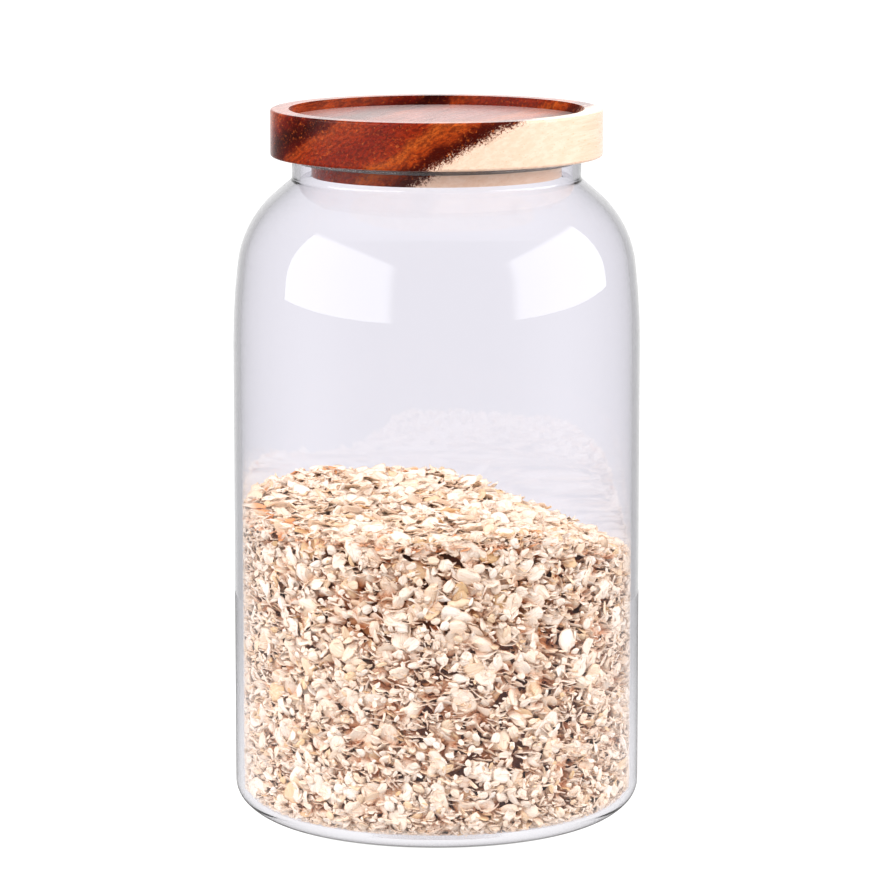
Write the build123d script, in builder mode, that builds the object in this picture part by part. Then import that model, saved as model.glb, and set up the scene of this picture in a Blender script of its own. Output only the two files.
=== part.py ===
from build123d import *

import math
import os

# A glass storage jar with a turned acacia lid, a silicone seal and rolled oats inside.
# It stands on the XY plane with its axis on Z, and its front faces -Y.

# ---- driving dimensions, in millimetres and degrees -------------------------------------

# Glass body: upright wall, two-arc heel, soft shoulder and a short upright neck.
body_radius = 75.0
wall_thickness = 2.65
base_thickness = 2.65
heel_split = 45.5  # turn of the wide foot arc; the tighter heel arc makes up 90
foot_arc_radius = 19.5
heel_arc_radius = 10.5
shoulder_start = 176.6
ease_radius = 242.5
ease_turn = 7.1
shoulder_radius = 39.5
shoulder_turn = 42.3

# Underside: a shallow punt inside the flat ring that the jar stands on.
punt_radius = 50.0
punt_rise = 1.6
punt_edge_rounding = 12.0

# Neck
neck_radius = 53.1
neck_wall = 2.9
rim_height = 245.5
rim_rounding = 1.3
neck_root_rounding = 1.5
throat_rounding = 3.0

# Lid: one turned piece, a dished disc above a plug that drops into the neck.
lid_radius = 60.95
lid_thickness = 17.2
lid_rim_gap = 0.15
lid_edge_rounding = 0.9
dish_radius = 54.2
dish_depth = 3.5
dish_edge_rounding = 0.6
dish_corner_rounding = 1.4
plug_radius = 45.95
plug_depth = 7.1
plug_edge_rounding = 1.0

# Groove in the plug and the seal that sits in it.
groove_depth = 1.5
groove_width = 2.4
groove_drop = 0.4  # from the underside of the disc to the groove
seal_running_gap = 0.05
seal_side_gap = 0.1
seal_glass_gap = 0.25
seal_band_thickness = 1.9
fin_thickness = 0.55
fin_lean = 6.0
fin_count = 2

# Oats: about half a jar, level on the left and falling away to the right and back.
oats_gap = 0.3
oats_height = 119.0
fall_facing = 16.4  # the fall faces this far round from +X towards +Y
brow_offset = 16.2  # how far from the axis the level top begins to fall
brow_radius = 50.0
fall_angle = 20.6

# ---- worked-out sizes -------------------------------------------------------------------

inner_radius = body_radius - wall_thickness
oats_radius = inner_radius - oats_gap
bore_radius = neck_radius - neck_wall
lid_underside = rim_height + lid_rim_gap
lid_top = lid_underside + lid_thickness
plug_bottom = lid_underside - plug_depth
groove_radius = plug_radius - groove_depth
groove_top = lid_underside - groove_drop
groove_bottom = groove_top - groove_width
seal_inner_radius = groove_radius + seal_running_gap
seal_band_height = groove_width - 2 * seal_side_gap
seal_outer_radius = bore_radius - seal_glass_gap


# ---- outlines shared by the glass and what it holds -------------------------------------


def base_curve(inset, floor):
    """From the axis: the domed punt, the flat ring, and two arcs up to the upright wall."""
    split = math.radians(heel_split)
    foot_arc = foot_arc_radius - inset
    heel_arc = heel_arc_radius - inset
    ring_end = body_radius - inset - foot_arc * math.sin(split)
    ring_end -= heel_arc * (1 - math.sin(split))
    middle = (punt_radius / 2, floor + punt_rise * 3 / 4)
    punt = ThreePointArc((0, floor + punt_rise), middle, (punt_radius, floor))
    ring = Line(punt @ 1, (ring_end, floor))
    foot = JernArc(ring @ 1, (1, 0), foot_arc, heel_split)
    heel = JernArc(foot @ 1, foot % 1, heel_arc, 90 - heel_split)
    return punt, heel


def shoulder_curve(radius, inset, neck):
    """A long easing arc, the shoulder arc, and a straight cone in to the neck radius."""
    ease = JernArc((radius, shoulder_start), (0, 1), ease_radius - inset, ease_turn)
    shoulder = JernArc(ease @ 1, ease % 1, shoulder_radius - inset, shoulder_turn)
    end = shoulder @ 1
    slope = shoulder % 1
    neck_root = end.Y + (neck - end.X) * slope.Y / slope.X
    cone = Line(end, (neck, neck_root))
    return ease, cone


# ---- glass jar --------------------------------------------------------------------------

with BuildPart() as glass_jar:
    with BuildSketch(Plane.XZ) as jar_section:
        with BuildLine():
            punt, heel = base_curve(0, 0)
            ease, cone = shoulder_curve(body_radius, 0, neck_radius)
            Line(heel @ 1, ease @ 0)
            Polyline(cone @ 1, (neck_radius, rim_height), (bore_radius, rim_height))
            inner_punt, inner_heel = base_curve(wall_thickness, base_thickness)
            inner_ease, inner_cone = shoulder_curve(inner_radius, wall_thickness, bore_radius)
            Line(inner_heel @ 1, inner_ease @ 0)
            Line(inner_cone @ 1, (bore_radius, rim_height))
            Line(inner_punt @ 0, punt @ 0)
        make_face()
        corners = jar_section.vertices()
        fillet(corners.group_by(Axis.Y)[-1], rim_rounding)
        fillet(corners.sort_by_distance(inner_cone @ 1)[0], throat_rounding)
        fillet(corners.sort_by_distance(cone @ 1)[0], neck_root_rounding)
        fillet(corners.sort_by_distance(punt @ 1)[0], punt_edge_rounding)
        fillet(corners.sort_by_distance(inner_punt @ 1)[0], punt_edge_rounding)
    revolve(axis=Axis.Z)

# ---- lid --------------------------------------------------------------------------------

with BuildPart() as acacia_lid:
    with BuildSketch(Plane.XZ) as lid_section:
        dish_floor = lid_top - dish_depth
        with BuildLine():
            Polyline(
                (0, plug_bottom),
                (plug_radius, plug_bottom),
                (plug_radius, groove_bottom),
                (groove_radius, groove_bottom),
                (groove_radius, groove_top),
                (plug_radius, groove_top),
                (plug_radius, lid_underside),
                (lid_radius, lid_underside),
                (lid_radius, lid_top),
                (dish_radius, lid_top),
                (dish_radius, dish_floor),
                (0, dish_floor),
                close=True,
            )
        make_face()
        corners = lid_section.vertices()
        fillet(corners.group_by(Axis.X)[-1], lid_edge_rounding)
        fillet(corners.sort_by_distance((dish_radius, lid_top))[0], dish_edge_rounding)
        fillet(corners.sort_by_distance((dish_radius, dish_floor))[0], dish_corner_rounding)
        fillet(corners.sort_by_distance((plug_radius, plug_bottom))[0], plug_edge_rounding)
    revolve(axis=Axis.Z)

# ---- silicone seal ----------------------------------------------------------------------

with BuildPart() as seal_ring:
    with BuildSketch(Plane.XZ) as seal_section:
        seal_middle = (groove_top + groove_bottom) / 2
        band_middle = seal_inner_radius + seal_band_thickness / 2
        with Locations((band_middle, seal_middle)):
            Rectangle(seal_band_thickness, seal_band_height)
        # The fins start inside the band and lean up towards the glass.
        fin_length = (seal_outer_radius - band_middle) / math.cos(math.radians(fin_lean))
        fin_middle = (seal_outer_radius + band_middle) / 2
        fin_spacing = seal_band_height / fin_count
        with Locations((fin_middle, seal_middle)):
            with GridLocations(0, fin_spacing, 1, fin_count):
                Rectangle(fin_length, fin_thickness, rotation=fin_lean)
    revolve(axis=Axis.Z)

# ---- rolled oats ------------------------------------------------------------------------

with BuildPart() as rolled_oats:
    with BuildSketch(Plane.XZ):
        with BuildLine():
            punt, heel = base_curve(
                wall_thickness + oats_gap,
                base_thickness + oats_gap,
            )
            Polyline(heel @ 1, (oats_radius, oats_height), (0, oats_height), punt @ 0)
        make_face()
    revolve(axis=Axis.Z)
    # The empty space above the fall is cut away, square to the way the fall faces.
    facing = math.radians(fall_facing)
    fall_plane = Plane(
        origin=(0, 0, 0),
        x_dir=(math.cos(facing), math.sin(facing), 0),
        z_dir=(math.sin(facing), -math.cos(facing), 0),
    )
    with BuildSketch(fall_plane):
        with BuildLine():
            brow = JernArc((brow_offset, oats_height), (1, 0), brow_radius, -fall_angle)
            fall = Line(brow @ 1, (brow @ 1) + (brow % 1) * body_radius)
            Polyline(fall @ 1, ((fall @ 1).X, oats_height), brow @ 0)
        make_face()
    extrude(amount=body_radius, both=True, mode=Mode.SUBTRACT)

# ---- labels and files -------------------------------------------------------------------

os.makedirs("parts", exist_ok=True)

glass_jar.part.label = "glass_jar"
export_step(glass_jar.part, "parts/glass_jar.step")
acacia_lid.part.label = "acacia_lid"
export_step(acacia_lid.part, "parts/acacia_lid.step")
seal_ring.part.label = "seal_ring"
export_step(seal_ring.part, "parts/seal_ring.step")
rolled_oats.part.label = "rolled_oats"
export_step(rolled_oats.part, "parts/rolled_oats.step")
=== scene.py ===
import math

import bpy
import numpy as np
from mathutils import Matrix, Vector


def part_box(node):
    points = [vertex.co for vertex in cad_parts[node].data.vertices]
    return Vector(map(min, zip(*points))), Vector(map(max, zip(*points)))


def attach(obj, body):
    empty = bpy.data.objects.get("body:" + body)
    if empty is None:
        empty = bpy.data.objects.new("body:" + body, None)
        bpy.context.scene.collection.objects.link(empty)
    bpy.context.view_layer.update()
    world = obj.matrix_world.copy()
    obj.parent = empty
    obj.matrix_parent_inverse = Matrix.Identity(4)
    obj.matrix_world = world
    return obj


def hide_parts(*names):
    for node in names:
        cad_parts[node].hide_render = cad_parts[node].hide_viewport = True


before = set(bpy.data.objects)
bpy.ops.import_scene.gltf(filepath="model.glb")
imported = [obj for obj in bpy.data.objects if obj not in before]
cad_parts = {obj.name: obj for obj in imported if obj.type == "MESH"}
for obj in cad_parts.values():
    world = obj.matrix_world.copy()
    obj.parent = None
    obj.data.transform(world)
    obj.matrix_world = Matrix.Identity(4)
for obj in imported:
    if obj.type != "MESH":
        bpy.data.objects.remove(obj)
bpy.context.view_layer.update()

# A glass jar of rolled oats with an acacia lid, lit by two large softboxes in a white room.
# Metres, in the part's own frame: Z up along the jar's axis, -Y towards the front.

MM = 0.001

# ---- camera -----------------------------------------------------------------------------

CAMERA_DISTANCE = 1.746
CAMERA_HEIGHT = 0.419
CAMERA_SIDE = 0.0038
CAMERA_PITCH = 0.16  # radians below level
CAMERA_LENS = 192.4
CAMERA_SENSOR = 36.0
CAMERA_CLIP = (0.1, 50.0)


def add_object(name, data):
    """A new object in the scene, made around a mesh, a light or a camera."""
    made = bpy.data.objects.new(name, data)
    bpy.context.collection.objects.link(made)
    return made


def make_camera():
    data = bpy.data.cameras.new("camera")
    data.lens = CAMERA_LENS
    data.sensor_width = CAMERA_SENSOR
    data.clip_start, data.clip_end = CAMERA_CLIP
    camera = add_object("camera", data)
    camera.location = (CAMERA_SIDE, -CAMERA_DISTANCE, CAMERA_HEIGHT)
    camera.rotation_euler = (math.pi / 2 - CAMERA_PITCH, 0, 0)
    bpy.context.scene.camera = camera


# ---- small helpers for node materials ---------------------------------------------------


class Nodes:
    """Adds nodes to a material, light or world and links them."""

    def __init__(self, owner):
        owner.use_nodes = True
        self.tree = owner.node_tree
        self.tree.nodes.clear()

    def feed(self, socket, value):
        """Links an output into the socket, or sets the socket's own value."""
        if isinstance(value, bpy.types.NodeSocket):
            self.tree.links.new(value, socket)
        else:
            socket.default_value = value

    def add(self, kind, inputs=None, **settings):
        node = self.tree.nodes.new(kind)
        for name, value in settings.items():
            setattr(node, name, value)
        for name, value in (inputs or {}).items():
            self.feed(node.inputs[name], value)
        return node

    def math(self, operation, *values):
        node = self.add("ShaderNodeMath", operation=operation)
        for socket, value in zip(node.inputs, values):
            self.feed(socket, value)
        return node.outputs[0]

    def vector(self, operation, *values):
        """Vector maths; a dot product or a length comes out as a number."""
        node = self.add("ShaderNodeVectorMath", operation=operation)
        for socket, value in zip(node.inputs, values):
            self.feed(socket, value)
        return node.outputs["Value" if operation in ("DOT_PRODUCT", "LENGTH") else "Vector"]

    def combine(self, x, y, z):
        return self.add("ShaderNodeCombineXYZ", {"X": x, "Y": y, "Z": z}).outputs[0]

    def mix(self, factor, low, high, blend="MIX"):
        """Two colours mixed by a factor."""
        node = self.add("ShaderNodeMix", data_type="RGBA", blend_type=blend)
        for place, value in ((0, factor), (6, low), (7, high)):
            self.feed(node.inputs[place], value)
        return node.outputs[2]

    def blend(self, factor, low, high):
        """Two numbers mixed by a factor."""
        node = self.add("ShaderNodeMix")
        for place, value in ((0, factor), (2, low), (3, high)):
            self.feed(node.inputs[place], value)
        return node.outputs["Result"]

    def ramp(self, factor, stops):
        node = self.add("ShaderNodeValToRGB", {"Fac": factor})
        elements = node.color_ramp.elements
        while len(elements) < len(stops):
            elements.new(1.0)
        for element, (place, colour) in zip(elements, stops):
            element.position = place
            element.color = colour
        return node.outputs["Color"]

    def between(self, value, low, high, to_low=0.0, to_high=1.0):
        node = self.add(
            "ShaderNodeMapRange",
            {
                "Value": value,
                "From Min": low,
                "From Max": high,
                "To Min": to_low,
                "To Max": to_high,
            },
            interpolation_type="SMOOTHSTEP",
        )
        return node.outputs["Result"]

    def noise(self, vector, detail=2.0, roughness=0.5, distortion=0.0, scale=1.0):
        node = self.add(
            "ShaderNodeTexNoise",
            {
                "Vector": vector,
                "Scale": scale,
                "Detail": detail,
                "Roughness": roughness,
                "Distortion": distortion,
            },
        )
        return node.outputs["Fac"]

    def bump(self, height, strength, distance):
        node = self.add(
            "ShaderNodeBump", {"Height": height, "Strength": strength, "Distance": distance}
        )
        return node.outputs["Normal"]

    def glow(self, strength):
        """White light of this strength."""
        white = (1.0, 1.0, 1.0, 1.0)
        return self.add("ShaderNodeEmission", {"Color": white, "Strength": strength})

    def output(self, kind, shader):
        """Ends the tree: the shader becomes the surface of the output node."""
        self.add(kind, {"Surface": shader.outputs[0]})

    def surface(self, inputs):
        """Ends a material with a Principled surface."""
        self.output("ShaderNodeOutputMaterial", self.add("ShaderNodeBsdfPrincipled", inputs))


def rgb(red, green, blue):
    """An sRGB colour out of 255 as the linear colour that Blender's sockets take."""

    def linear(value):
        value /= 255
        return value / 12.92 if value <= 0.04045 else ((value + 0.055) / 1.055) ** 2.4

    return (linear(red), linear(green), linear(blue), 1.0)


# ---- room: world, floor and softboxes ---------------------------------------------------

THROUGH = 0.83  # how bright the room is through the glass

# The white room round the jar. Each radiance changes over a span of the direction's
# upward part (for light) or its part away from the camera's side (for reflections).
FILL_RADIANCE = (0.5, 1.4)  # as light, from below and from above
FILL_SPAN = (-0.3, 0.6)
MIRROR_RADIANCE = (0.04, 0.3)  # in the outside of the glass, from beside and from behind
MIRROR_SPAN = (0.2, 0.95)
MIRROR_EDGE = 0.6  # added straight behind the jar, where its outline mirrors the room
MIRROR_EDGE_SPAN = (0.85, 1.0)
INNER_RADIANCE = (0.25, 0.58)  # inside the glass, from the camera's side and from elsewhere
INNER_SPAN = (-0.9, -0.1)

# The pale floor: brightness by radius, with painted shadow under the jar and a thin dark line of
# painted shadow where the jar's foot stands.
FLOOR_RADIUS = 0.45
FLOOR_CORNERS = 96
FLOOR_CLEAR = 0.96
SHADOW_UNDER_PUNT = 0.85
FOOT_SHADOW_LINE = 0.12
FOOT_SHADOW_DARKENS = (0.052, 0.056)
FOOT_SHADOW_FADES = (0.058, 0.063)
FLOOR_LIGHTING = 0.65
FLOOR_MIRRORED = 0.2
FLOOR_INNER = (0.8, 0.5)  # near the jar and further off
FLOOR_INNER_SPAN = (0.1, 0.4)
FLOOR_GREY = 0.08

# Each softbox is an upright panel: its two ends on the floor plan, and its height span.
SOFTBOXES = {
    "softbox_left": ((-1.10, 0.06), (-0.75, -1.85)),
    "softbox_right": ((1.12, 0.42), (1.20, -1.42)),
}
SOFTBOX_BOTTOM = 0.19
SOFTBOX_TOP = 1.13
SOFTBOX_RADIANCE = 2.65
# The shares of its length and height at which a softbox begins to fade.
FADE_ALONG = 0.78
FADE_UP = 0.86


def seen_level(nodes, lighting, mirrored, inner, clear, depth_ahead=0):
    """One brightness for each way a ray can arrive: as light, in a mirror, through glass.

    A world's ray depth already counts the step out of the scene: its depth_ahead is 1.
    """
    ray = nodes.add("ShaderNodeLightPath")
    depth, transmissions = ray.outputs["Ray Depth"], ray.outputs["Transmission Depth"]
    reflections = nodes.math("SUBTRACT", depth, transmissions)
    turned_back = nodes.math("GREATER_THAN", reflections, 0.5 + depth_ahead)
    through = nodes.blend(turned_back, nodes.math("MULTIPLY", clear, THROUGH), inner)
    level = nodes.blend(ray.outputs["Is Glossy Ray"], lighting, mirrored)
    level = nodes.blend(ray.outputs["Is Transmission Ray"], level, through)
    return nodes.blend(ray.outputs["Is Camera Ray"], level, clear)


def make_world():
    """White to look at, darker in reflections of the camera's side."""
    world = bpy.data.worlds.new("white_room")
    bpy.context.scene.world = world
    nodes = Nodes(world)
    place = nodes.add("ShaderNodeTexCoord").outputs["Generated"]
    back = nodes.vector("DOT_PRODUCT", place, (0.0, 1.0, 0.0))
    up = nodes.vector("DOT_PRODUCT", place, (0.0, 0.0, 1.0))
    lighting = nodes.between(up, *FILL_SPAN, *FILL_RADIANCE)
    mirrored = nodes.between(back, *MIRROR_SPAN, *MIRROR_RADIANCE)
    edge = nodes.between(back, *MIRROR_EDGE_SPAN, 0.0, MIRROR_EDGE)
    mirrored = nodes.math("ADD", mirrored, edge)
    inner = nodes.between(back, *INNER_SPAN, *INNER_RADIANCE)
    level = seen_level(nodes, lighting, mirrored, inner, clear=1.0, depth_ahead=1)
    white = (1.0, 1.0, 1.0, 1.0)
    background = nodes.add("ShaderNodeBackground", {"Color": white, "Strength": level})
    nodes.output("ShaderNodeOutputWorld", background)


def make_floor():
    """A pale disc about as bright as the room, with painted shadow under the jar and a thin dark
    line of painted shadow at the jar's foot.
    """
    mesh = bpy.data.meshes.new("floor")
    turn = np.linspace(0, 2 * math.pi, FLOOR_CORNERS, endpoint=False)
    ring = [(FLOOR_RADIUS * math.cos(a), FLOOR_RADIUS * math.sin(a), 0) for a in turn]
    mesh.from_pydata(ring, [], [range(len(ring))])
    floor = add_object("floor", mesh)
    material = bpy.data.materials.new("pale_floor")
    nodes = Nodes(material)
    place = nodes.add("ShaderNodeTexCoord").outputs["Object"]
    radius = nodes.vector("LENGTH", place)
    # Painted shadow: the floor is a little darker under the punt and darkest in a thin line round
    # the jar's foot.
    inside = nodes.between(radius, *FOOT_SHADOW_DARKENS, SHADOW_UNDER_PUNT, FOOT_SHADOW_LINE)
    outside = nodes.between(radius, *FOOT_SHADOW_FADES, 0.0, FLOOR_CLEAR - FOOT_SHADOW_LINE)
    clear = nodes.math("ADD", inside, outside)
    lighting = nodes.math("MINIMUM", clear, FLOOR_LIGHTING)
    mirrored = nodes.math("MINIMUM", clear, FLOOR_MIRRORED)
    inner = nodes.between(radius, *FLOOR_INNER_SPAN, *FLOOR_INNER)
    inner = nodes.math("MINIMUM", clear, inner)
    glow = nodes.glow(seen_level(nodes, lighting, mirrored, inner, clear))
    grey = (FLOOR_GREY, FLOOR_GREY, FLOOR_GREY, 1.0)
    lit = nodes.add("ShaderNodeBsdfDiffuse", {"Color": grey})
    both = nodes.add("ShaderNodeAddShader", {0: glow.outputs[0], 1: lit.outputs[0]})
    nodes.output("ShaderNodeOutputMaterial", both)
    mesh.materials.append(material)


def soften(data, towards_camera):
    """Fades a softbox out towards its top and its end beside the camera."""
    nodes = Nodes(data)
    place = nodes.add("ShaderNodeNewGeometry").outputs["Parametric"]
    parts = nodes.add("ShaderNodeSeparateXYZ", {"Vector": place})
    along = parts.outputs["X"]
    if not towards_camera:
        along = nodes.math("SUBTRACT", 1.0, along)
    end = nodes.between(along, FADE_ALONG, 1.0, 1.0, 0.0)
    top = nodes.between(parts.outputs["Y"], FADE_UP, 1.0, 1.0, 0.0)
    nodes.output("ShaderNodeOutputLight", nodes.glow(nodes.math("MULTIPLY", end, top)))


def make_softboxes():
    """Two upright lamps either side of the camera, turned to face the jar."""
    for name, (start, end) in SOFTBOXES.items():
        along = Vector((end[0] - start[0], end[1] - start[1], 0))
        heights = SOFTBOX_BOTTOM + SOFTBOX_TOP
        centre = Vector((start[0] + end[0], start[1] + end[1], heights)) / 2
        data = bpy.data.lights.new(name, "AREA")
        data.shape = "RECTANGLE"
        data.size = along.length
        data.size_y = SOFTBOX_TOP - SOFTBOX_BOTTOM
        data.energy = SOFTBOX_RADIANCE * math.pi * data.size * data.size_y
        lamp = add_object(name, data)
        lamp.location = centre
        inward = Vector((-centre.x, -centre.y, 0))
        facing = along.cross(Vector((0, 0, 1)))
        if facing.dot(inward) < 0:
            facing.negate()
        turn = facing.to_track_quat("-Z", "Y")
        lamp.rotation_euler = turn.to_euler()
        soften(data, (turn @ Vector((1, 0, 0))).y < 0)
        lamp.visible_camera = False
        lamp.visible_transmission = False


# ---- glass ------------------------------------------------------------------------------

# The jar's own dimensions in millimetres, as in its CAD source.
BODY_RADIUS = 75.0
WALL = 2.65
PUNT_RADIUS = 50.0
PUNT_RISE = 1.6
FOOT_ARC = (19.5, 45.5)  # radius and turn in degrees
HEEL_ARC = (10.5, 44.5)
SHOULDER_START = 176.6
EASE_ARC = (242.5, 7.1)
SHOULDER_ARC = (39.5, 42.3)
NECK_RADIUS = 53.1
NECK_WALL = 2.9
NECK_ROOT_ROUNDING = 1.5
THROAT_ROUNDING = 3.0
RIM_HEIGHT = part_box("glass_jar")[1].z / MM
RIM_ROUNDING = 1.3
GLASS_SEGMENTS = 288
PUNT_STEPS = 13


class Pen:
    """Draws a half-section in (radius, height) millimetres from straight runs and arcs."""

    ARC_STEP = 2.5  # degrees between the points of an arc

    def __init__(self, radius, height, heading):
        self.points = [(radius, height)]
        self.heading = heading

    def run_to(self, radius, height):
        self.points.append((radius, height))

    def arc(self, radius, turn):
        """A tangent arc; a positive turn is anticlockwise."""
        side = math.copysign(1.0, turn)
        start = math.radians(self.heading)
        x, y = self.points[-1]
        centre = (x - side * radius * math.sin(start), y + side * radius * math.cos(start))
        steps = max(3, math.ceil(abs(turn) / self.ARC_STEP))
        for step in range(1, steps + 1):
            angle = start + math.radians(turn) * step / steps
            self.points.append(
                (
                    centre[0] + side * radius * math.sin(angle),
                    centre[1] - side * radius * math.cos(angle),
                )
            )
        self.heading += turn


def base_outline(inset):
    """The punt, the standing ring and the heel, that far inside the outer surface."""
    foot_radius, foot_turn = FOOT_ARC
    heel_radius, heel_turn = HEEL_ARC
    foot_sine = math.sin(math.radians(foot_turn))
    ring_end = BODY_RADIUS - foot_radius * foot_sine - heel_radius * (1 - foot_sine)
    pen = Pen(0.0, inset + PUNT_RISE, 0.0)
    for radius in np.linspace(0, PUNT_RADIUS, PUNT_STEPS + 1)[1:]:
        pen.run_to(radius, inset + PUNT_RISE * (1 - (radius / PUNT_RADIUS) ** 2))
    pen.run_to(ring_end, inset)
    pen.arc(foot_radius - inset, foot_turn)
    pen.arc(heel_radius - inset, heel_turn)
    return pen


def wall_outline(inset, neck, root_rounding, rim_turn):
    """One surface of the wall, from the axis up to the top of the rim."""
    pen = base_outline(inset)
    pen.run_to(BODY_RADIUS - inset, SHOULDER_START)
    pen.arc(EASE_ARC[0] - inset, EASE_ARC[1])
    pen.arc(SHOULDER_ARC[0] - inset, SHOULDER_ARC[1])
    slope = math.radians(pen.heading)
    radius, height = pen.points[-1]
    bend = pen.heading - 90.0
    cone_length = (neck - radius) / math.cos(slope)
    cone_length -= root_rounding * math.tan(math.radians(bend / 2))
    pen.run_to(
        radius + cone_length * math.cos(slope), height + cone_length * math.sin(slope)
    )
    pen.arc(root_rounding, -bend)
    pen.run_to(neck, RIM_HEIGHT - RIM_ROUNDING)
    pen.arc(RIM_ROUNDING, rim_turn)
    return pen.points


def closed_solid(name, columns, bottom, top):
    """A smooth solid from columns of corners round the axis and its two ends on the axis."""
    count, rows = len(columns), len(columns[0])
    corners = [tuple(corner) for column in columns for corner in column] + [bottom, top]
    low, high = count * rows, count * rows + 1
    faces = []
    for i in range(count):
        here, there = i * rows, (i + 1) % count * rows
        faces.append((low, there, here))
        faces.append((high, here + rows - 1, there + rows - 1))
        for k in range(rows - 1):
            faces.append((here + k, there + k, there + k + 1, here + k + 1))
    mesh = bpy.data.meshes.new(name)
    mesh.from_pydata(corners, [], faces)
    mesh.shade_smooth()
    return add_object(name, mesh)


def lathe(name, outline, segments):
    """A closed solid turned from an outline that starts and ends on the axis."""
    outline = np.array(outline) * MM
    ring = outline[1:-1]
    turn = np.linspace(0, 2 * math.pi, segments, endpoint=False)
    columns = np.stack(
        [
            np.outer(np.cos(turn), ring[:, 0]),
            np.outer(np.sin(turn), ring[:, 0]),
            np.outer(np.ones(segments), ring[:, 1]),
        ],
        axis=-1,
    )
    return closed_solid(name, columns, (0, 0, outline[0][1]), (0, 0, outline[-1][1]))


def glass_material():
    material = bpy.data.materials.new("clear_glass")
    Nodes(material).surface(
        {
            "Base Color": (0.97, 0.96, 1.0, 1.0),
            "Roughness": 0.0,
            "IOR": 1.5,
            "Transmission Weight": 1.0,
        }
    )
    return material


def make_glass():
    outer = wall_outline(0.0, NECK_RADIUS, NECK_ROOT_ROUNDING, 90.0)
    inner = wall_outline(WALL, NECK_RADIUS - NECK_WALL, THROAT_ROUNDING, -90.0)
    jar = lathe("jar_glass", outer + inner[::-1], GLASS_SEGMENTS)
    jar.data.materials.append(glass_material())
    # The thin clear wall lets the lamps through to what it holds.
    jar.visible_shadow = False
    jar.visible_diffuse = False
    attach(jar, "jar")
    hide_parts("glass_jar")


# ---- rolled oats ------------------------------------------------------------------------

# Lengths are in millimetres.
OATS_GAP = 0.3
OATS_INSET = WALL + OATS_GAP
LEVEL_TOP = 116.8
FALL_FACING = math.radians(16.4)  # the fall faces this far round from +X towards +Y
FALL_START = 21.5  # distance from the axis at which the level top begins to fall
FALL_SLOPE = 0.382
BROW_SOFTNESS = 5.0
RISE_TO_BACK = 0.015
MOUND_HEIGHT = 4.0
MOUND_AT = (-56.0, 34.0)
MOUND_SPREAD = 24.0
RIPPLE_HEIGHT = 0.9
RIPPLE_PACE = (9.0, 7.5)

BED_CELL = 0.7  # the grid on which flakes come to rest
BED_SHARE = 0.62  # how much of a flake must clear those under it
BURIED_BY = 6.0  # how far in the flakes get the full painted shade
TILT_SPREAD = 24  # degrees, for flakes that lie one way
LOOSE_SPREAD = 70  # degrees, for flakes that lie any way

# Against the glass, directions are (round the jar, up, away from the glass).
LYING_LEVEL = (0.18, 1.0, 0)
FLAT_ON_GLASS = (0, 0.25, 0.97)
OFF_THE_GLASS = (0, 0, 1.0)
UP_TO_LEVEL = 0.42  # the share of flakes that lie level
UP_TO_FLAT = 0.85  # and with them the share that lie flat on the glass
FEWER_BELOW = 60.0  # the height below which a batch may be thinned out
HEAP_FROM = 20.0  # above this height a flake has to stay under the heap's top
SIDE_OVER_TOP = 1.0  # but for this much
ROUND_FROM = 6.0  # nearer the axis than this, widths round it count as here
AXIS_GAP = 0.2

# On the heap's top
TOP_BED_DEPTH = 4.2  # the bed starts this far under the top
TOP_REST_DEPTH = 0.2  # a flake's middle rests at least this far under it
TOP_STANDS_OUT = 2.6  # and its edge stands out of it by this much at most
TOP_REACH_SLACK = 0.15

# The core behind the flakes, painted dark as shade
CORE_DEPTH = 6.5
CORE_BASE_SHARE = 0.6  # how much of that depth it keeps over the base
CORE_TOP_SHARE = 0.8  # and under the heap's top
CORE_SEGMENTS = 72
CORE_TOP_STEPS = 10

PATH_OVER_TOP = 12.0
PATH_POINTS = 600
WHOLE_TURN = (0, 2 * math.pi)
UNPLACED = -1.0

oat_random = np.random.default_rng(11)


def oats_top(x, y):
    """Height of the heap's top: nearly level, a low mound back left, a fall to the right."""
    along = x * math.cos(FALL_FACING) + y * math.sin(FALL_FACING) - FALL_START
    fall = BROW_SOFTNESS * np.logaddexp(0, along / BROW_SOFTNESS)
    off_mound = (x - MOUND_AT[0]) ** 2 + (y - MOUND_AT[1]) ** 2
    mound = MOUND_HEIGHT * np.exp(-off_mound / (2 * MOUND_SPREAD**2))
    ripple = RIPPLE_HEIGHT * np.sin(x / RIPPLE_PACE[0] + 1.0) * np.sin(y / RIPPLE_PACE[1])
    return LEVEL_TOP + RISE_TO_BACK * y + mound + ripple - FALL_SLOPE * fall


class Kind:
    """A kind of flake: its sizes in millimetres, its form, and how finely it is meshed."""

    def __init__(self, name, length, aspect, thickness, curl, cuts, rings, spokes):
        self.name = name
        self.length = length
        self.aspect = aspect  # width as a share of length
        self.thickness = thickness
        self.curl = curl  # how far it bends, as a share of half its length
        self.cuts = cuts  # straight broken edges
        self.rings = rings  # shares of the radius at which the mesh has corners
        self.spokes = spokes


WHOLE = Kind("whole_flakes", (7.2, 10.4), (0.62, 0.9), (0.28, 0.45), 0.13, 1, (0.42, 0.8), 16)
BROKEN = Kind("broken_flakes", (3.4, 6.4), (0.45, 0.85), (0.25, 0.45), 0.12, 3, (0.6,), 10)
CRUMB = Kind("oat_crumbs", (1.4, 3.3), (0.4, 0.8), (0.25, 0.55), 0.1, 1, (), 6)
BACKING = Kind("backing_flakes", (6.5, 9.5), (0.65, 0.9), (0.3, 0.5), 0.2, 0, (0.6,), 10)


def spread(low_high, count):
    return oat_random.uniform(low_high[0], low_high[1], count)[:, None]


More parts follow.
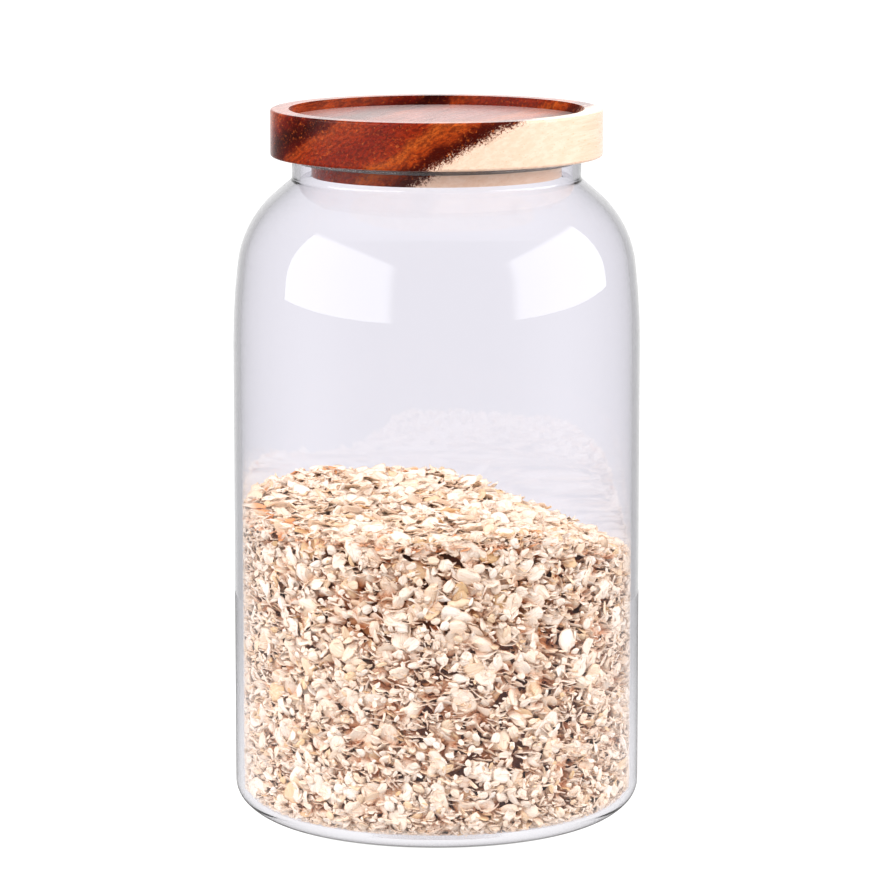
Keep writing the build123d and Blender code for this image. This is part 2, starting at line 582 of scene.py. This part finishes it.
class Flakes:
    """Random flakes of one kind, each a surface over (share of radius, angle, side)."""

    LOBES = (2, 3, 5, 7)  # waves round the outline
    LOBE_SIZE = 0.2
    CUT_DISTANCE = (0.45, 1.15)  # of a broken edge from the middle, in radii
    NOTCH_DEPTH = (0, 0.3)
    NOTCH_PLACE = (-0.3, 0.3)
    NOTCH_WIDTH = 0.16
    BEND = (0.6, 1.0)  # mean and deviation, in curls
    RUFFLE_SIZE = (0, 0.6)
    RUFFLES = 5
    CREASE_DEPTH = (0.0, 0.14)
    CREASE_WIDTH = 0.16
    WRINKLES = 2
    WRINKLE_SIZE = (0.2, 0.6)
    WRINKLE_PACE_LONG = (-2.5, 2.5)
    WRINKLE_PACE_WIDE = (3.0, 6.5)
    RIM_THINNING = 0.62

    def __init__(self, kind, count):
        self.kind = kind
        self.count = count
        self.half_length = spread(kind.length, count) / 2
        self.half_width = self.half_length * spread(kind.aspect, count)
        self.thickness = spread(kind.thickness, count)
        self.lobes = [
            (k, spread((0, self.LOBE_SIZE / k), count), spread(WHOLE_TURN, count))
            for k in self.LOBES
        ]
        self.cuts = [
            (spread(self.CUT_DISTANCE, count), spread(WHOLE_TURN, count))
            for _ in range(kind.cuts)
        ]
        self.notch = (spread(self.NOTCH_DEPTH, count), spread(self.NOTCH_PLACE, count))
        curl = kind.curl * self.half_length
        self.bend_long = oat_random.normal(*self.BEND, (count, 1)) * curl
        self.bend_wide = oat_random.normal(*self.BEND, (count, 1)) * curl
        self.twist = oat_random.normal(0, 1.0, (count, 1)) * curl
        self.ruffle = (spread(self.RUFFLE_SIZE, count) * curl, spread(WHOLE_TURN, count))
        self.crease = spread(self.CREASE_DEPTH, count)
        self.wrinkles = [
            (
                spread(self.WRINKLE_SIZE, count) * curl,
                spread(self.WRINKLE_PACE_LONG, count),
                spread(self.WRINKLE_PACE_WIDE, count),
                spread(WHOLE_TURN, count),
            )
            for _ in range(self.WRINKLES)
        ]

    def surface(self, share, angle, side):
        """Points (count, places, 3) in millimetres: along, across and out of the flake."""
        outline = np.ones((self.count, len(angle)))
        for k, size, phase in self.lobes:
            outline = outline + size * np.cos(k * angle + phase)
        for distance, facing in self.cuts:
            reach = np.maximum(np.cos(angle - facing), 1e-3)
            outline = np.minimum(outline, distance / reach)
        depth, place = self.notch
        off = np.angle(np.exp(1j * (angle - place)))
        outline = outline * (1 - depth * np.exp(-((off / self.NOTCH_WIDTH) ** 2)))
        u = share * outline * np.cos(angle)
        v = share * outline * np.sin(angle)
        size, phase = self.ruffle
        middle = self.bend_long * u**2 + self.bend_wide * v**2 + self.twist * u * v
        middle = middle + size * share**3 * np.sin(self.RUFFLES * angle + phase)
        crease = self.crease * np.exp(-((v / self.CREASE_WIDTH) ** 2))
        middle = middle - crease * (1 - share**2)
        for size, pace_u, pace_v, phase in self.wrinkles:
            middle = middle + size * np.sin(pace_u * u + pace_v * v + phase)
        across = self.thickness / 2 * (1 - self.RIM_THINNING * share**4)
        x = u * self.half_length
        y = v * self.half_width
        return np.stack([x, y, middle + side * across], axis=-1)

    def get_ready(self):
        """Points all over the turned flakes, for laying them; none has a place yet."""
        self.dense = turned(self.surface(*dense_places()), self.normal, self.spin)
        self.depth = np.full(self.count, UNPLACED)

    def mesh_places(self):
        """Share, angle and side of each mesh corner, top centre first, bottom centre last."""
        spokes = self.kind.spokes
        turn = np.linspace(0, 2 * math.pi, spokes, endpoint=False)
        rows = [(r, 1.0) for r in self.kind.rings] + [(1.0, 1.0), (1.0, -1.0)]
        rows += [(r, -1.0) for r in reversed(self.kind.rings)]
        share = np.concatenate([[0.0]] + [np.full(spokes, r) for r, _ in rows] + [[0.0]])
        side = np.concatenate([[1.0]] + [np.full(spokes, d) for _, d in rows] + [[-1.0]])
        angle = np.concatenate([[0.0]] + [turn for _ in rows] + [[0.0]])
        return share, angle, side

    def faces(self):
        """The faces of one flake, and for each whether it is shaded flat, as thin rims are."""
        spokes = self.kind.spokes
        rows = 2 * len(self.kind.rings) + 2
        last = 1 + rows * spokes
        made = []
        for i in range(spokes):
            j = (i + 1) % spokes
            made.append((0, 1 + i, 1 + j))
            base = last - spokes
            made.append((last, base + j, base + i))
            for row in range(rows - 1):
                here = 1 + row * spokes
                there = here + spokes
                made.append((here + i, there + i, there + j, here + j))
        fans = not self.kind.rings
        per_spoke = [fans, fans] + [row == len(self.kind.rings) for row in range(rows - 1)]
        return made, per_spoke * spokes


def turned(points, normal, spin):
    """Points turned so that their Z lies along each normal, spun about it first."""
    cosine, sine = np.cos(spin)[:, None], np.sin(spin)[:, None]
    x = points[..., 0] * cosine - points[..., 1] * sine
    y = points[..., 0] * sine + points[..., 1] * cosine
    helper = np.where(np.abs(normal[:, 2:3]) < 0.9, [[0, 0, 1.0]], [[1.0, 0, 0]])
    first = np.cross(helper, normal)
    first /= np.linalg.norm(first, axis=1, keepdims=True)
    second = np.cross(normal, first)
    return (
        x[..., None] * first[:, None, :]
        + y[..., None] * second[:, None, :]
        + points[..., 2:3] * normal[:, None, :]
    )


def tilted(pole, spread_degrees, count):
    """Directions scattered about a pole by a normal spread of tilt."""
    tilt = np.radians(np.abs(oat_random.normal(0, spread_degrees, count)))
    turn = oat_random.uniform(0, 2 * math.pi, count)
    local = np.stack([np.sin(tilt) * np.cos(turn), np.sin(tilt) * np.sin(turn), np.cos(tilt)], 1)
    pole = np.array(pole, float)
    helper = np.array([0, 0, 1.0]) if abs(pole[2]) < 0.9 else np.array([1.0, 0, 0])
    first = np.cross(helper, pole)
    first /= np.linalg.norm(first)
    second = np.cross(pole, first)
    return local[:, :1] * first + local[:, 1:2] * second + local[:, 2:] * pole


class Bed:
    """A grid that flakes are laid on one after another: each comes to rest on those before."""

    def __init__(self, rows, columns, wraps, start):
        self.rows = rows
        self.columns = columns
        self.wraps = wraps
        self.height = np.full(rows * columns, 0.0) + start

    def cells(self, row, column):
        row = np.clip(row.astype(int), 0, self.rows - 1)
        column = column.astype(int)
        if self.wraps:
            column %= self.columns
        else:
            column = np.clip(column, 0, self.columns - 1)
        return row * self.columns + column

    def rest(self, cells, lift):
        """Where a flake comes to rest: high enough for most of it to clear those before."""
        gaps = np.sort(self.height[cells] - lift)
        return gaps[int(BED_SHARE * len(gaps))]

    def lay(self, cells, lift):
        np.maximum.at(self.height, cells, lift)


DENSE_SHARES = (0.0, 0.3, 0.55, 0.78, 1.0)
DENSE_SPOKES = 14


def dense_places():
    """Places spread over both sides of a flake, for finding where it rests."""
    share = np.repeat(DENSE_SHARES, DENSE_SPOKES)
    turn = np.linspace(0, 2 * math.pi, DENSE_SPOKES, endpoint=False)
    angle = np.tile(turn, len(DENSE_SHARES))
    side = np.ones(len(share))
    return np.tile(share, 2), np.tile(angle, 2), np.concatenate([side, -side])


def laying_order(number, count, later):
    """For each flake of a batch: when to lay it, the batch's number and its own."""
    order = oat_random.uniform(0, 1, count) + later
    return [(order[i], number, i) for i in range(count)]


def wall_path():
    """The oats' outer face as (radius, height, outward normal) against length along it."""
    pen = base_outline(OATS_INSET)
    pen.run_to(BODY_RADIUS - OATS_INSET, LEVEL_TOP + PATH_OVER_TOP)
    corner = np.array(pen.points)
    length = np.concatenate([[0], np.cumsum(np.linalg.norm(np.diff(corner, axis=0), axis=1))])
    fine = np.linspace(0, length[-1], PATH_POINTS)
    radius = np.interp(fine, length, corner[:, 0])
    height = np.interp(fine, length, corner[:, 1])
    run = np.gradient(np.stack([radius, height], 1), axis=0)
    run /= np.linalg.norm(run, axis=1, keepdims=True)
    return fine, radius, height, run[:, 1], -run[:, 0]


PATH = wall_path()


def on_path(length):
    return [np.interp(length, PATH[0], column) for column in PATH[1:]]


def place_on_wall(points, length, turn, depth):
    """Flake points (tangent, along the path, inward) as points in space."""
    along = length + points[..., 1]
    radius, height, out_r, out_z = on_path(along)
    radius_here = np.interp(length, PATH[0], PATH[1])
    inward = depth + points[..., 2]
    r = np.maximum(radius - inward * out_r, AXIS_GAP)
    z = height - inward * out_z
    angle = turn + points[..., 0] / np.maximum(radius_here, ROUND_FROM)
    return np.stack([r * np.cos(angle), r * np.sin(angle), z], axis=-1)


def scatter_on_wall(flakes, fewer_low):
    """Gives each flake a direction and a place, evenly over the area but for the thinning."""
    count = flakes.count
    level = tilted(LYING_LEVEL, TILT_SPREAD, count)
    flat = tilted(FLAT_ON_GLASS, TILT_SPREAD, count)
    any_way = tilted(OFF_THE_GLASS, LOOSE_SPREAD, count)
    pick = oat_random.uniform(0, 1, count)[:, None]
    normal = np.where(pick < UP_TO_FLAT, flat, any_way)
    flakes.normal = np.where(pick < UP_TO_LEVEL, level, normal)
    fine, radius, height = PATH[:3]
    often = 1 - fewer_low * np.clip(1 - height / FEWER_BELOW, 0, 1)
    share = np.cumsum(np.maximum(radius, 1.0) * often)
    flakes.length_at = np.interp(oat_random.uniform(0, share[-1], count), share, fine)
    flakes.turn_at = oat_random.uniform(*WHOLE_TURN, count)
    flakes.spin = oat_random.uniform(*WHOLE_TURN, count)


def lay_on_wall(bed, flakes, i, deepest):
    """Lays one flake, unless it would show over the heap's top or rest too deep."""
    length, turn = flakes.length_at[i], flakes.turn_at[i]
    radius, height = on_path(length)[:2]
    top = oats_top(radius * math.cos(turn), radius * math.sin(turn))
    points = flakes.dense[i]
    if height > HEAP_FROM and height + points[:, 1].max() > top + SIDE_OVER_TOP:
        return
    row = (length + points[:, 1]) / BED_CELL
    column = (turn + points[:, 0] / max(radius, ROUND_FROM)) / (2 * math.pi) * bed.columns
    cells = bed.cells(row, column)
    nearest = points[:, 2].min()
    depth = max(bed.rest(cells, points[:, 2]), -nearest)
    if depth + nearest <= deepest:
        bed.lay(cells, depth + points[:, 2])
        flakes.depth[i] = depth


def wall_flakes(batches):
    """Lays flakes against the glass, each on those before, from the base up to the top."""
    columns = round(2 * math.pi * BODY_RADIUS / BED_CELL)
    rows = math.ceil(PATH[0][-1] / BED_CELL)
    bed = Bed(rows, columns, True, 0.0)
    jobs = []
    for number, (flakes, _, later, fewer_low) in enumerate(batches):
        scatter_on_wall(flakes, fewer_low)
        flakes.get_ready()
        jobs += laying_order(number, flakes.count, later)
    for _, number, i in sorted(jobs):
        flakes, deepest = batches[number][:2]
        lay_on_wall(bed, flakes, i, deepest)
    return [batch[0] for batch in batches]


def wall_meshes(flakes):
    """The flakes that found a place against the glass: corners, which, how buried."""
    kept = flakes.depth > UNPLACED
    share, angle, side = flakes.mesh_places()
    local = turned(flakes.surface(share, angle, side), flakes.normal, flakes.spin)[kept]
    depth = flakes.depth[kept][:, None]
    length, turn = flakes.length_at[kept][:, None], flakes.turn_at[kept][:, None]
    corners = place_on_wall(local, length, turn, depth)
    return corners, kept, (depth + local[..., 2]) / BURIED_BY


def scatter_on_top(flakes, reach):
    """Gives each flake a direction and a place, evenly over the heap's round top."""
    count = flakes.count
    flakes.normal = tilted((0, 0, 1.0), TILT_SPREAD, count)
    flakes.spin = oat_random.uniform(*WHOLE_TURN, count)
    turn = oat_random.uniform(*WHOLE_TURN, count)
    far = reach * np.sqrt(oat_random.uniform(0, 1, count))
    flakes.centre = np.stack([far * np.cos(turn), far * np.sin(turn)], 1)


def lay_on_top(bed, flakes, i, reach):
    """Drops one flake, moved in from the glass, unless it would end up too high."""
    points = flakes.dense[i]
    place = points[:, :2] + flakes.centre[i]
    over = np.linalg.norm(place, axis=1).max() - reach
    if over > 0:
        flakes.centre[i] -= flakes.centre[i] / np.linalg.norm(flakes.centre[i]) * over
        place = points[:, :2] + flakes.centre[i]
        if np.linalg.norm(place, axis=1).max() > reach + TOP_REACH_SLACK:
            return
    row, column = (place.T + BODY_RADIUS) / BED_CELL
    cells = bed.cells(row, column)
    height = bed.rest(cells, points[:, 2])
    highest = height + points[:, 2].max()
    top = oats_top(*flakes.centre[i])
    if height <= top - TOP_REST_DEPTH and highest <= top + TOP_STANDS_OUT:
        bed.lay(cells, height + points[:, 2])
        flakes.depth[i] = height


def top_flakes(batches):
    """Drops flakes on to the heap's top until it is as high as it should be."""
    reach = BODY_RADIUS - OATS_INSET
    side = math.ceil(2 * BODY_RADIUS / BED_CELL)
    place = (np.arange(side) + 0.5) * BED_CELL - BODY_RADIUS
    grid_x, grid_y = np.meshgrid(place, place, indexing="ij")
    bed = Bed(side, side, False, (oats_top(grid_x, grid_y) - TOP_BED_DEPTH).ravel())
    jobs = []
    for number, (flakes, later) in enumerate(batches):
        scatter_on_top(flakes, reach)
        flakes.get_ready()
        jobs += laying_order(number, flakes.count, later)
    for _, number, i in sorted(jobs):
        lay_on_top(bed, batches[number][0], i, reach)
    return [flakes for flakes, _ in batches]


def top_meshes(flakes):
    """The flakes that found a place on the heap's top: corners, which, how buried."""
    kept = flakes.depth > UNPLACED
    share, angle, side = flakes.mesh_places()
    local = turned(flakes.surface(share, angle, side), flakes.normal, flakes.spin)[kept]
    local[..., :2] += flakes.centre[kept][:, None, :]
    local[..., 2] += flakes.depth[kept][:, None]
    under = oats_top(local[..., 0], local[..., 1]) - local[..., 2]
    return local, kept, under / BURIED_BY


def build_mesh(name, corners, faces, flat_shaded, colours, plane):
    """One mesh of many flakes: corners (count, places, 3), the same faces for each.

    Each corner also keeps its colour facts and its place in the flake's own plane.
    """
    count, places = corners.shape[:2]
    sizes = np.array([len(face) for face in faces])
    flat = np.concatenate([np.array(face) for face in faces])
    loops = (flat[None, :] + np.arange(count)[:, None] * places).ravel()
    sizes = np.tile(sizes, count)
    starts = np.concatenate([[0], np.cumsum(sizes)[:-1]])
    mesh = bpy.data.meshes.new(name)
    mesh.vertices.add(count * places)
    mesh.vertices.foreach_set("co", (corners * MM).astype(np.float32).ravel())
    mesh.loops.add(len(loops))
    mesh.loops.foreach_set("vertex_index", loops.astype(np.int32))
    mesh.polygons.add(len(starts))
    mesh.polygons.foreach_set("loop_start", starts.astype(np.int32))
    mesh.update(calc_edges=True)
    smooth = np.tile(np.logical_not(flat_shaded), count)
    mesh.polygons.foreach_set("use_smooth", smooth)
    tint = mesh.color_attributes.new("tint", "FLOAT_COLOR", "POINT")
    tint.data.foreach_set("color", colours.astype(np.float32).ravel())
    uv = mesh.uv_layers.new(name="flake_plane")
    uv.data.foreach_set("uv", plane.reshape(-1, 2)[loops].astype(np.float32).ravel())
    return add_object(name, mesh)


LIGHTNESS = (0.5, 0.2)  # mean and deviation
GOLDEN = (1.1, 4.5)  # of a beta distribution: most flakes are pale


def oat_colours(share, buried):
    """Facts for the colour of each corner: lightness, how golden, how buried (for the painted
    shade), how near the rim.
    """
    count, places = buried.shape
    light = oat_random.normal(*LIGHTNESS, (count, 1)).clip(0, 1)
    golden = oat_random.beta(*GOLDEN, (count, 1))
    facts = (light, golden, buried.clip(0, 1), share)
    return np.stack([np.broadcast_to(fact, (count, places)) for fact in facts], -1)


def make_oat_piece(name, flakes, mesh_maker, material):
    corners, kept, buried = mesh_maker(flakes)
    share, angle, side = flakes.mesh_places()
    plane = flakes.surface(share, angle, side)[kept][..., :2]
    colours = oat_colours(share, buried)
    piece = build_mesh(name, corners, *flakes.faces(), colours, plane)
    piece.data.materials.append(material)
    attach(piece, "jar")
    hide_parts("rolled_oats")


def make_core(material):
    """A closed body inside the flakes, painted dark as shade, so that nothing shows between them.
    """
    reach = BODY_RADIUS - OATS_INSET - CORE_DEPTH
    base = base_outline(OATS_INSET + CORE_DEPTH * CORE_BASE_SHARE).points
    base = [point for point in base if point[0] < reach]
    under_top = CORE_DEPTH * CORE_TOP_SHARE
    columns = []
    for i in range(CORE_SEGMENTS):
        turn = 2 * math.pi * i / CORE_SEGMENTS
        cosine, sine = math.cos(turn), math.sin(turn)
        column = [(r * cosine, r * sine, z) for r, z in base[1:]]
        for k in range(CORE_TOP_STEPS):
            r = reach * (1 - k / CORE_TOP_STEPS)
            x, y = r * cosine, r * sine
            column.append((x, y, oats_top(x, y) - under_top))
        columns.append([tuple(MM * value for value in corner) for corner in column])
    bottom = (0, 0, MM * base[0][1])
    top = (0, 0, MM * (oats_top(0.0, 0.0) - under_top))
    core = closed_solid("oat_core", columns, bottom, top)
    core.data.materials.append(material)
    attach(core, "jar")
    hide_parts("rolled_oats")


def oat_material():
    """Pale to golden flakes with streaks, blotches, a crease and a tan rim that is partly painted
    glow of light through the thin edge, with painted shade deeper in the heap.
    """
    material = bpy.data.materials.new("rolled_oat")
    nodes = Nodes(material)
    fact = nodes.add("ShaderNodeAttribute", attribute_name="tint")
    split = nodes.add("ShaderNodeSeparateColor", {"Color": fact.outputs["Color"]})
    light, golden, buried = (split.outputs[k] for k in ("Red", "Green", "Blue"))
    rim = fact.outputs["Alpha"]
    # Each flake has a number of its own, so that no two are patterned alike.
    number = nodes.math("MULTIPLY_ADD", light, 1.7, golden)
    plane = nodes.add("ShaderNodeUVMap", uv_map="flake_plane").outputs["UV"]
    parts = nodes.add("ShaderNodeSeparateXYZ", {"Vector": plane})
    along, across = parts.outputs["X"], parts.outputs["Y"]
    shifted = nodes.math("MULTIPLY_ADD", number, 60.0, nodes.math("MULTIPLY", along, 0.3))
    streak_place = nodes.combine(shifted, nodes.math("MULTIPLY", across, 2.6), 0.0)
    streaks = nodes.noise(streak_place, detail=3.0, roughness=0.6)
    blotch_place = nodes.combine(shifted, across, 3.0)
    blotch = nodes.noise(blotch_place, detail=4.0, roughness=0.65, scale=1.3)
    pale = nodes.mix(light, rgb(246, 222, 198), rgb(255, 245, 233))
    tan = nodes.mix(blotch, rgb(222, 170, 112), rgb(247, 221, 178))
    body = nodes.mix(nodes.between(golden, 0.15, 0.75), pale, tan)
    body = nodes.mix(nodes.between(streaks, 0.55, 0.8, 0.0, 0.4), body, rgb(222, 176, 130))
    body = nodes.mix(nodes.between(blotch, 0.3, 0.45, 0.5, 0.0), body, rgb(255, 249, 241))
    crease = nodes.between(nodes.math("ABSOLUTE", across), 0.0, 0.35, 1.0, 0.0)
    inner = nodes.between(rim, 0.5, 1.0, 1.0, 0.0)
    crease = nodes.math("MULTIPLY", crease, nodes.math("MULTIPLY", inner, 0.22))
    body = nodes.mix(crease, body, rgb(206, 158, 110))
    # The tan rim: partly the oat's own colour, partly a painted glow of light shining through the
    # thin edge.
    body = nodes.mix(nodes.between(rim, 0.82, 1.0, 0.0, 0.28), body, rgb(222, 164, 108))
    # Painted shade: flakes and corners deeper in the heap are painted darker and warmer.
    shade = nodes.mix(nodes.between(buried, 0.25, 0.9), (1.0, 1.0, 1.0, 1.0), rgb(238, 182, 136))
    body = nodes.mix(1.0, body, shade, "MULTIPLY")
    nodes.surface(
        {
            "Base Color": body,
            "Roughness": 0.62,
            "Specular IOR Level": 0.35,
            "Normal": nodes.bump(nodes.math("ADD", streaks, blotch), 1.0, 0.0005),
        }
    )
    return material


def core_material():
    """Painted shade: the dark brown that shows in the gaps between flakes."""
    material = bpy.data.materials.new("oat_shadow")
    nodes = Nodes(material)
    place = nodes.add("ShaderNodeTexCoord").outputs["Object"]
    mottle = nodes.noise(place, detail=3.0, scale=400.0)
    # Painted shade: dark browns that stand for oats deep in shadow.
    colour = nodes.mix(mottle, rgb(104, 50, 24), rgb(160, 96, 54))
    nodes.surface({"Base Color": colour, "Roughness": 0.9})
    return material


def make_oats():
    material = oat_material()
    # Flakes, how deep they may rest, how much later they are laid, how many fewer low down.
    wall = wall_flakes(
        [
            (Flakes(WHOLE, 2600), 2.6, 0.0, 0.55),
            (Flakes(BROKEN, 11000), 3.0, 0.1, 0.0),
            (Flakes(CRUMB, 18000), 3.0, 0.25, 0.0),
            (Flakes(BACKING, 6000), 4.0, 1.5, 0.0),
        ]
    )
    # Flakes and how much later they are laid.
    top = top_flakes(
        [
            (Flakes(WHOLE, 1500), 0.2),
            (Flakes(BROKEN, 3000), 0.1),
            (Flakes(CRUMB, 4000), 0.0),
        ]
    )
    for flakes in wall:
        make_oat_piece(f"{flakes.kind.name}_side", flakes, wall_meshes, material)
    for flakes in top:
        make_oat_piece(f"{flakes.kind.name}_top", flakes, top_meshes, material)
    make_core(core_material())


# ---- silicone seal ----------------------------------------------------------------------


def silicone_material():
    material = bpy.data.materials.new("clear_silicone")
    Nodes(material).surface(
        {
            "Base Color": (0.84, 0.8, 0.77, 1.0),
            "Roughness": 0.24,
            "IOR": 1.41,
            "Transmission Weight": 0.85,
        }
    )
    return material


def dress_seal():
    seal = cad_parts["seal_ring"]
    seal.data.materials.clear()
    seal.data.materials.append(silicone_material())


# ---- acacia lid -------------------------------------------------------------------------


WOOD_UNDERSIDE = 0.24565  # height of the underside of the lid's disc, in metres
# The sapwood's boundary is a plane: its normal, and a point on it in millimetres from there.
SAPWOOD_NORMAL = (0.4915, -0.2093, -0.8453)
SAPWOOD_START = (-0.6, -60.9, 0.0)
GRAIN = (0.3903, 0.9207, 0.0)
RINGS_DEPTH = 60.0  # millimetres of heartwood that the ring colours cover
# Dark beside the boundary, then golden, red-brown, near-black, golden and dark again.
RING_COLOURS = [
    (0.0, (112, 44, 18)),
    (0.05, (66, 14, 5)),
    (0.09, (84, 20, 6)),
    (0.13, (168, 68, 20)),
    (0.19, (190, 94, 36)),
    (0.25, (150, 50, 18)),
    (0.38, (134, 36, 16)),
    (0.48, (152, 52, 20)),
    (0.55, (162, 68, 26)),
    (0.6, (84, 14, 6)),
    (0.67, (36, 3, 1)),
    (0.74, (118, 26, 12)),
    (0.86, (178, 76, 28)),
    (1.0, (90, 20, 8)),
]


def wood_coordinates(nodes):
    """Millimetres along the grain, into the heartwood, and across both."""
    place = nodes.add("ShaderNodeTexCoord").outputs["Object"]
    place = nodes.vector("SUBTRACT", place, (0.0, 0.0, WOOD_UNDERSIDE))
    place = nodes.vector("MULTIPLY", place, (1 / MM, 1 / MM, 1 / MM))
    place = nodes.vector("SUBTRACT", place, SAPWOOD_START)
    along = nodes.vector("DOT_PRODUCT", place, GRAIN)
    inward = nodes.vector("DOT_PRODUCT", place, tuple(-x for x in SAPWOOD_NORMAL))
    third = Vector(GRAIN).cross(Vector(SAPWOOD_NORMAL)).normalized()
    across = nodes.vector("DOT_PRODUCT", place, tuple(third))
    return along, inward, across


def wood_material():
    """Oiled acacia: ringed heartwood, pale sapwood and a speckled edge between them."""
    material = bpy.data.materials.new("acacia_wood")
    nodes = Nodes(material)
    along, inward, across = wood_coordinates(nodes)

    def stretched(a, b, c):
        parts = ((along, a), (inward, b), (across, c))
        return nodes.combine(*(nodes.math("MULTIPLY", part, pace) for part, pace in parts))

    swirl = nodes.noise(stretched(0.018, 0.06, 0.05))
    wander = nodes.noise(stretched(0.05, 0.25, 0.25), detail=3.0, roughness=0.6)
    far = nodes.between(inward, 4.0, 22.0, 1.0, 13.0)
    depth = nodes.math("MULTIPLY_ADD", nodes.math("SUBTRACT", swirl, 0.5), far, inward)
    depth = nodes.math("MULTIPLY_ADD", nodes.math("SUBTRACT", wander, 0.5), 7.0, depth)
    share = nodes.math("DIVIDE", depth, RINGS_DEPTH)
    rings = nodes.ramp(share, [(place, rgb(*colour)) for place, colour in RING_COLOURS])
    fine = nodes.noise(stretched(0.035, 1.1, 0.5), detail=4.0, roughness=0.65, distortion=0.3)
    lines = nodes.between(fine, 0.38, 0.62)
    heart = nodes.mix(nodes.between(lines, 0.0, 1.0, 0.55, 0.0), rings, rgb(60, 10, 4))
    flecks = nodes.noise(stretched(0.12, 0.9, 0.9), detail=5.0, roughness=0.7)
    heart = nodes.mix(nodes.between(flecks, 0.56, 0.68, 0.0, 0.6), heart, rgb(206, 110, 46))
    fibre = nodes.noise(stretched(0.16, 5.0, 5.0), detail=3.0, roughness=0.7)
    heart = nodes.mix(nodes.between(fibre, 0.4, 0.62, 0.35, 0.0), heart, rgb(76, 16, 6))

    sap_lines = nodes.noise(stretched(0.02, 0.7, 0.5), detail=4.0, roughness=0.6)
    sap = nodes.mix(nodes.between(sap_lines, 0.4, 0.66), rgb(222, 190, 168), rgb(227, 200, 181))
    sap = nodes.mix(nodes.between(fibre, 0.5, 0.7, 0.0, 0.15), sap, rgb(208, 172, 136))

    speck = nodes.noise(stretched(0.2, 1.6, 1.6), detail=6.0, roughness=0.85)
    edge = nodes.math("MULTIPLY_ADD", nodes.math("SUBTRACT", wander, 0.5), 2.5, inward)
    level = nodes.between(edge, -4.6, 6.6, 0.3, 0.71)
    is_heart = nodes.between(nodes.math("SUBTRACT", level, speck), -0.035, 0.035)
    colour = nodes.mix(is_heart, sap, heart)

    cells = nodes.add(
        "ShaderNodeTexVoronoi",
        {"Vector": stretched(0.09, 1.1, 1.1), "Scale": 1.0, "Randomness": 1.0},
        feature="F1",
    )
    pore = nodes.between(cells.outputs["Distance"], 0.08, 0.2, 1.0, 0.0)
    pore_colour = nodes.mix(is_heart, rgb(206, 166, 124), rgb(40, 10, 6))
    colour = nodes.mix(nodes.math("MULTIPLY", pore, 0.75), colour, pore_colour)
    height = nodes.math("MULTIPLY_ADD", fibre, 0.4, nodes.math("SUBTRACT", 1.0, pore))
    # Oiled wood looks hazy when seen nearly edge-on.
    facing = nodes.add("ShaderNodeLayerWeight", {"Blend": 0.5}).outputs["Facing"]
    haze = nodes.between(facing, 0.62, 0.95, 0.0, 0.55)
    nodes.surface(
        {
            "Base Color": colour,
            "Roughness": nodes.between(fine, 0.3, 0.7, 0.33, 0.25),
            "Specular IOR Level": 0.24,
            "Sheen Weight": haze,
            "Sheen Roughness": 0.25,
            "Sheen Tint": (1.0, 0.9, 0.88, 1.0),
            "Normal": nodes.bump(height, 0.35, 0.00012),
        }
    )
    return material


def dress_lid():
    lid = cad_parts["acacia_lid"]
    lid.data.materials.clear()
    lid.data.materials.append(wood_material())


# ---- scene ------------------------------------------------------------------------------

make_camera()
make_world()
make_floor()
make_softboxes()
make_glass()
make_oats()
dress_seal()
dress_lid()

bpy.context.scene.view_settings.view_transform = "Standard"
bpy.context.scene.view_settings.look = "Medium High Contrast"
